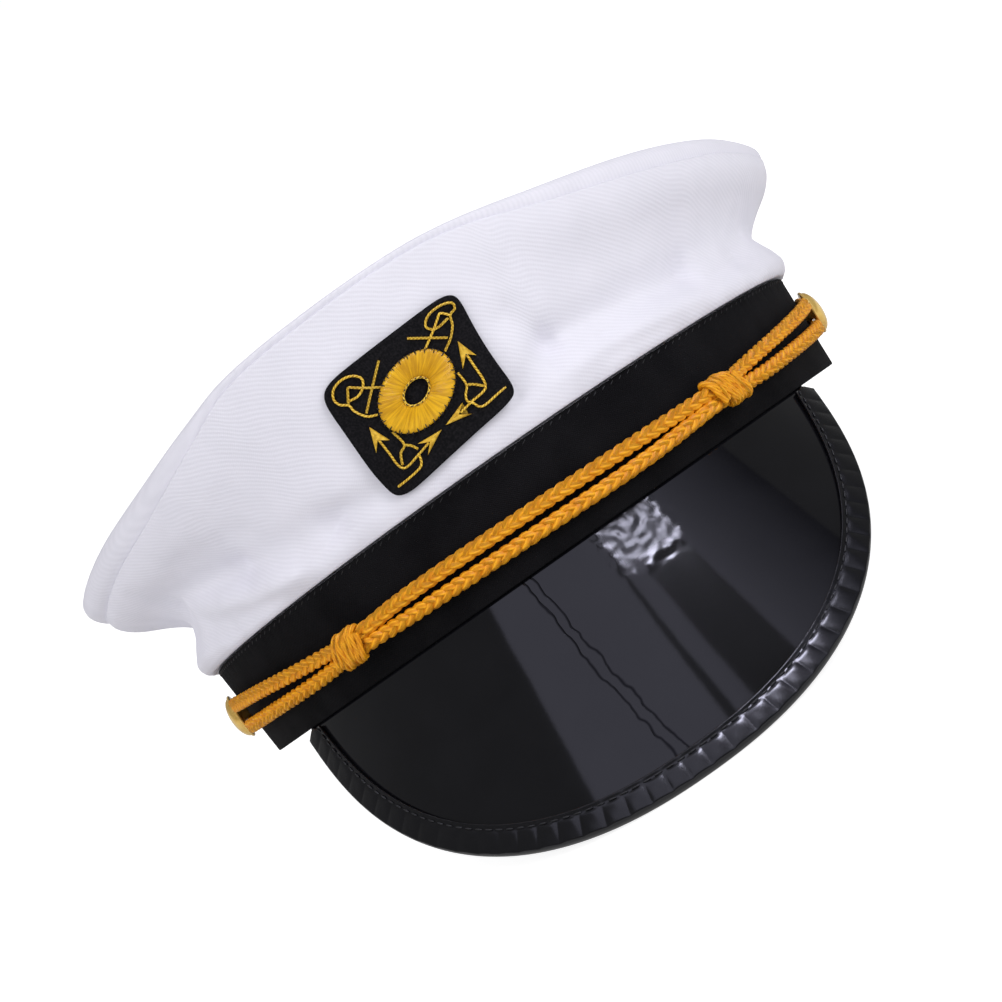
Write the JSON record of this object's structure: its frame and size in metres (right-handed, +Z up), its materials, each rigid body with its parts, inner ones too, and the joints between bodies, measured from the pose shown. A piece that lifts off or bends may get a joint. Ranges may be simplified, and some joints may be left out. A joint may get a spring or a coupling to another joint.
{
  "type": "captain hat",
  "caption": "Peaked captain hat with a soft white crown, black band, glossy black peak, gold chin cord on two buttons and an embroidered anchor badge.",
  "frame": {"origin": "middle of the hat's box in plan, on the surface that the hat rests on", "axes": "+Z up, +Y from the peak towards the back of the hat, +X towards the wearer's left; the hat lies tipped back on the rim of its peak and the back of its band"},
  "size_m": [0.2192, 0.2724, 0.1341],
  "materials": {
    "crown_cloth": "white cotton twill",
    "band_cloth": "black twill, matt",
    "peak_vinyl": "patent, glossy",
    "gold_cord": "twisted rayon cord",
    "gold_button": "polished",
    "badge_cloth": "black twill, matt",
    "badge_thread": "satin stitch"
  },
  "bodies": {
    "root": {"crown_side": "crown_cloth", "crown_top": "crown_cloth", "band": "band_cloth", "visor": "peak_vinyl", "visor_binding": "peak_vinyl", "chin_cord": "gold_cord", "knot_left": "gold_cord", "knot_right": "gold_cord", "button_left": "gold_button", "button_right": "gold_button", "badge_patch": "badge_cloth", "badge_anchors": "badge_thread", "badge_ring": "badge_thread"}
  },
  "joints": []
}
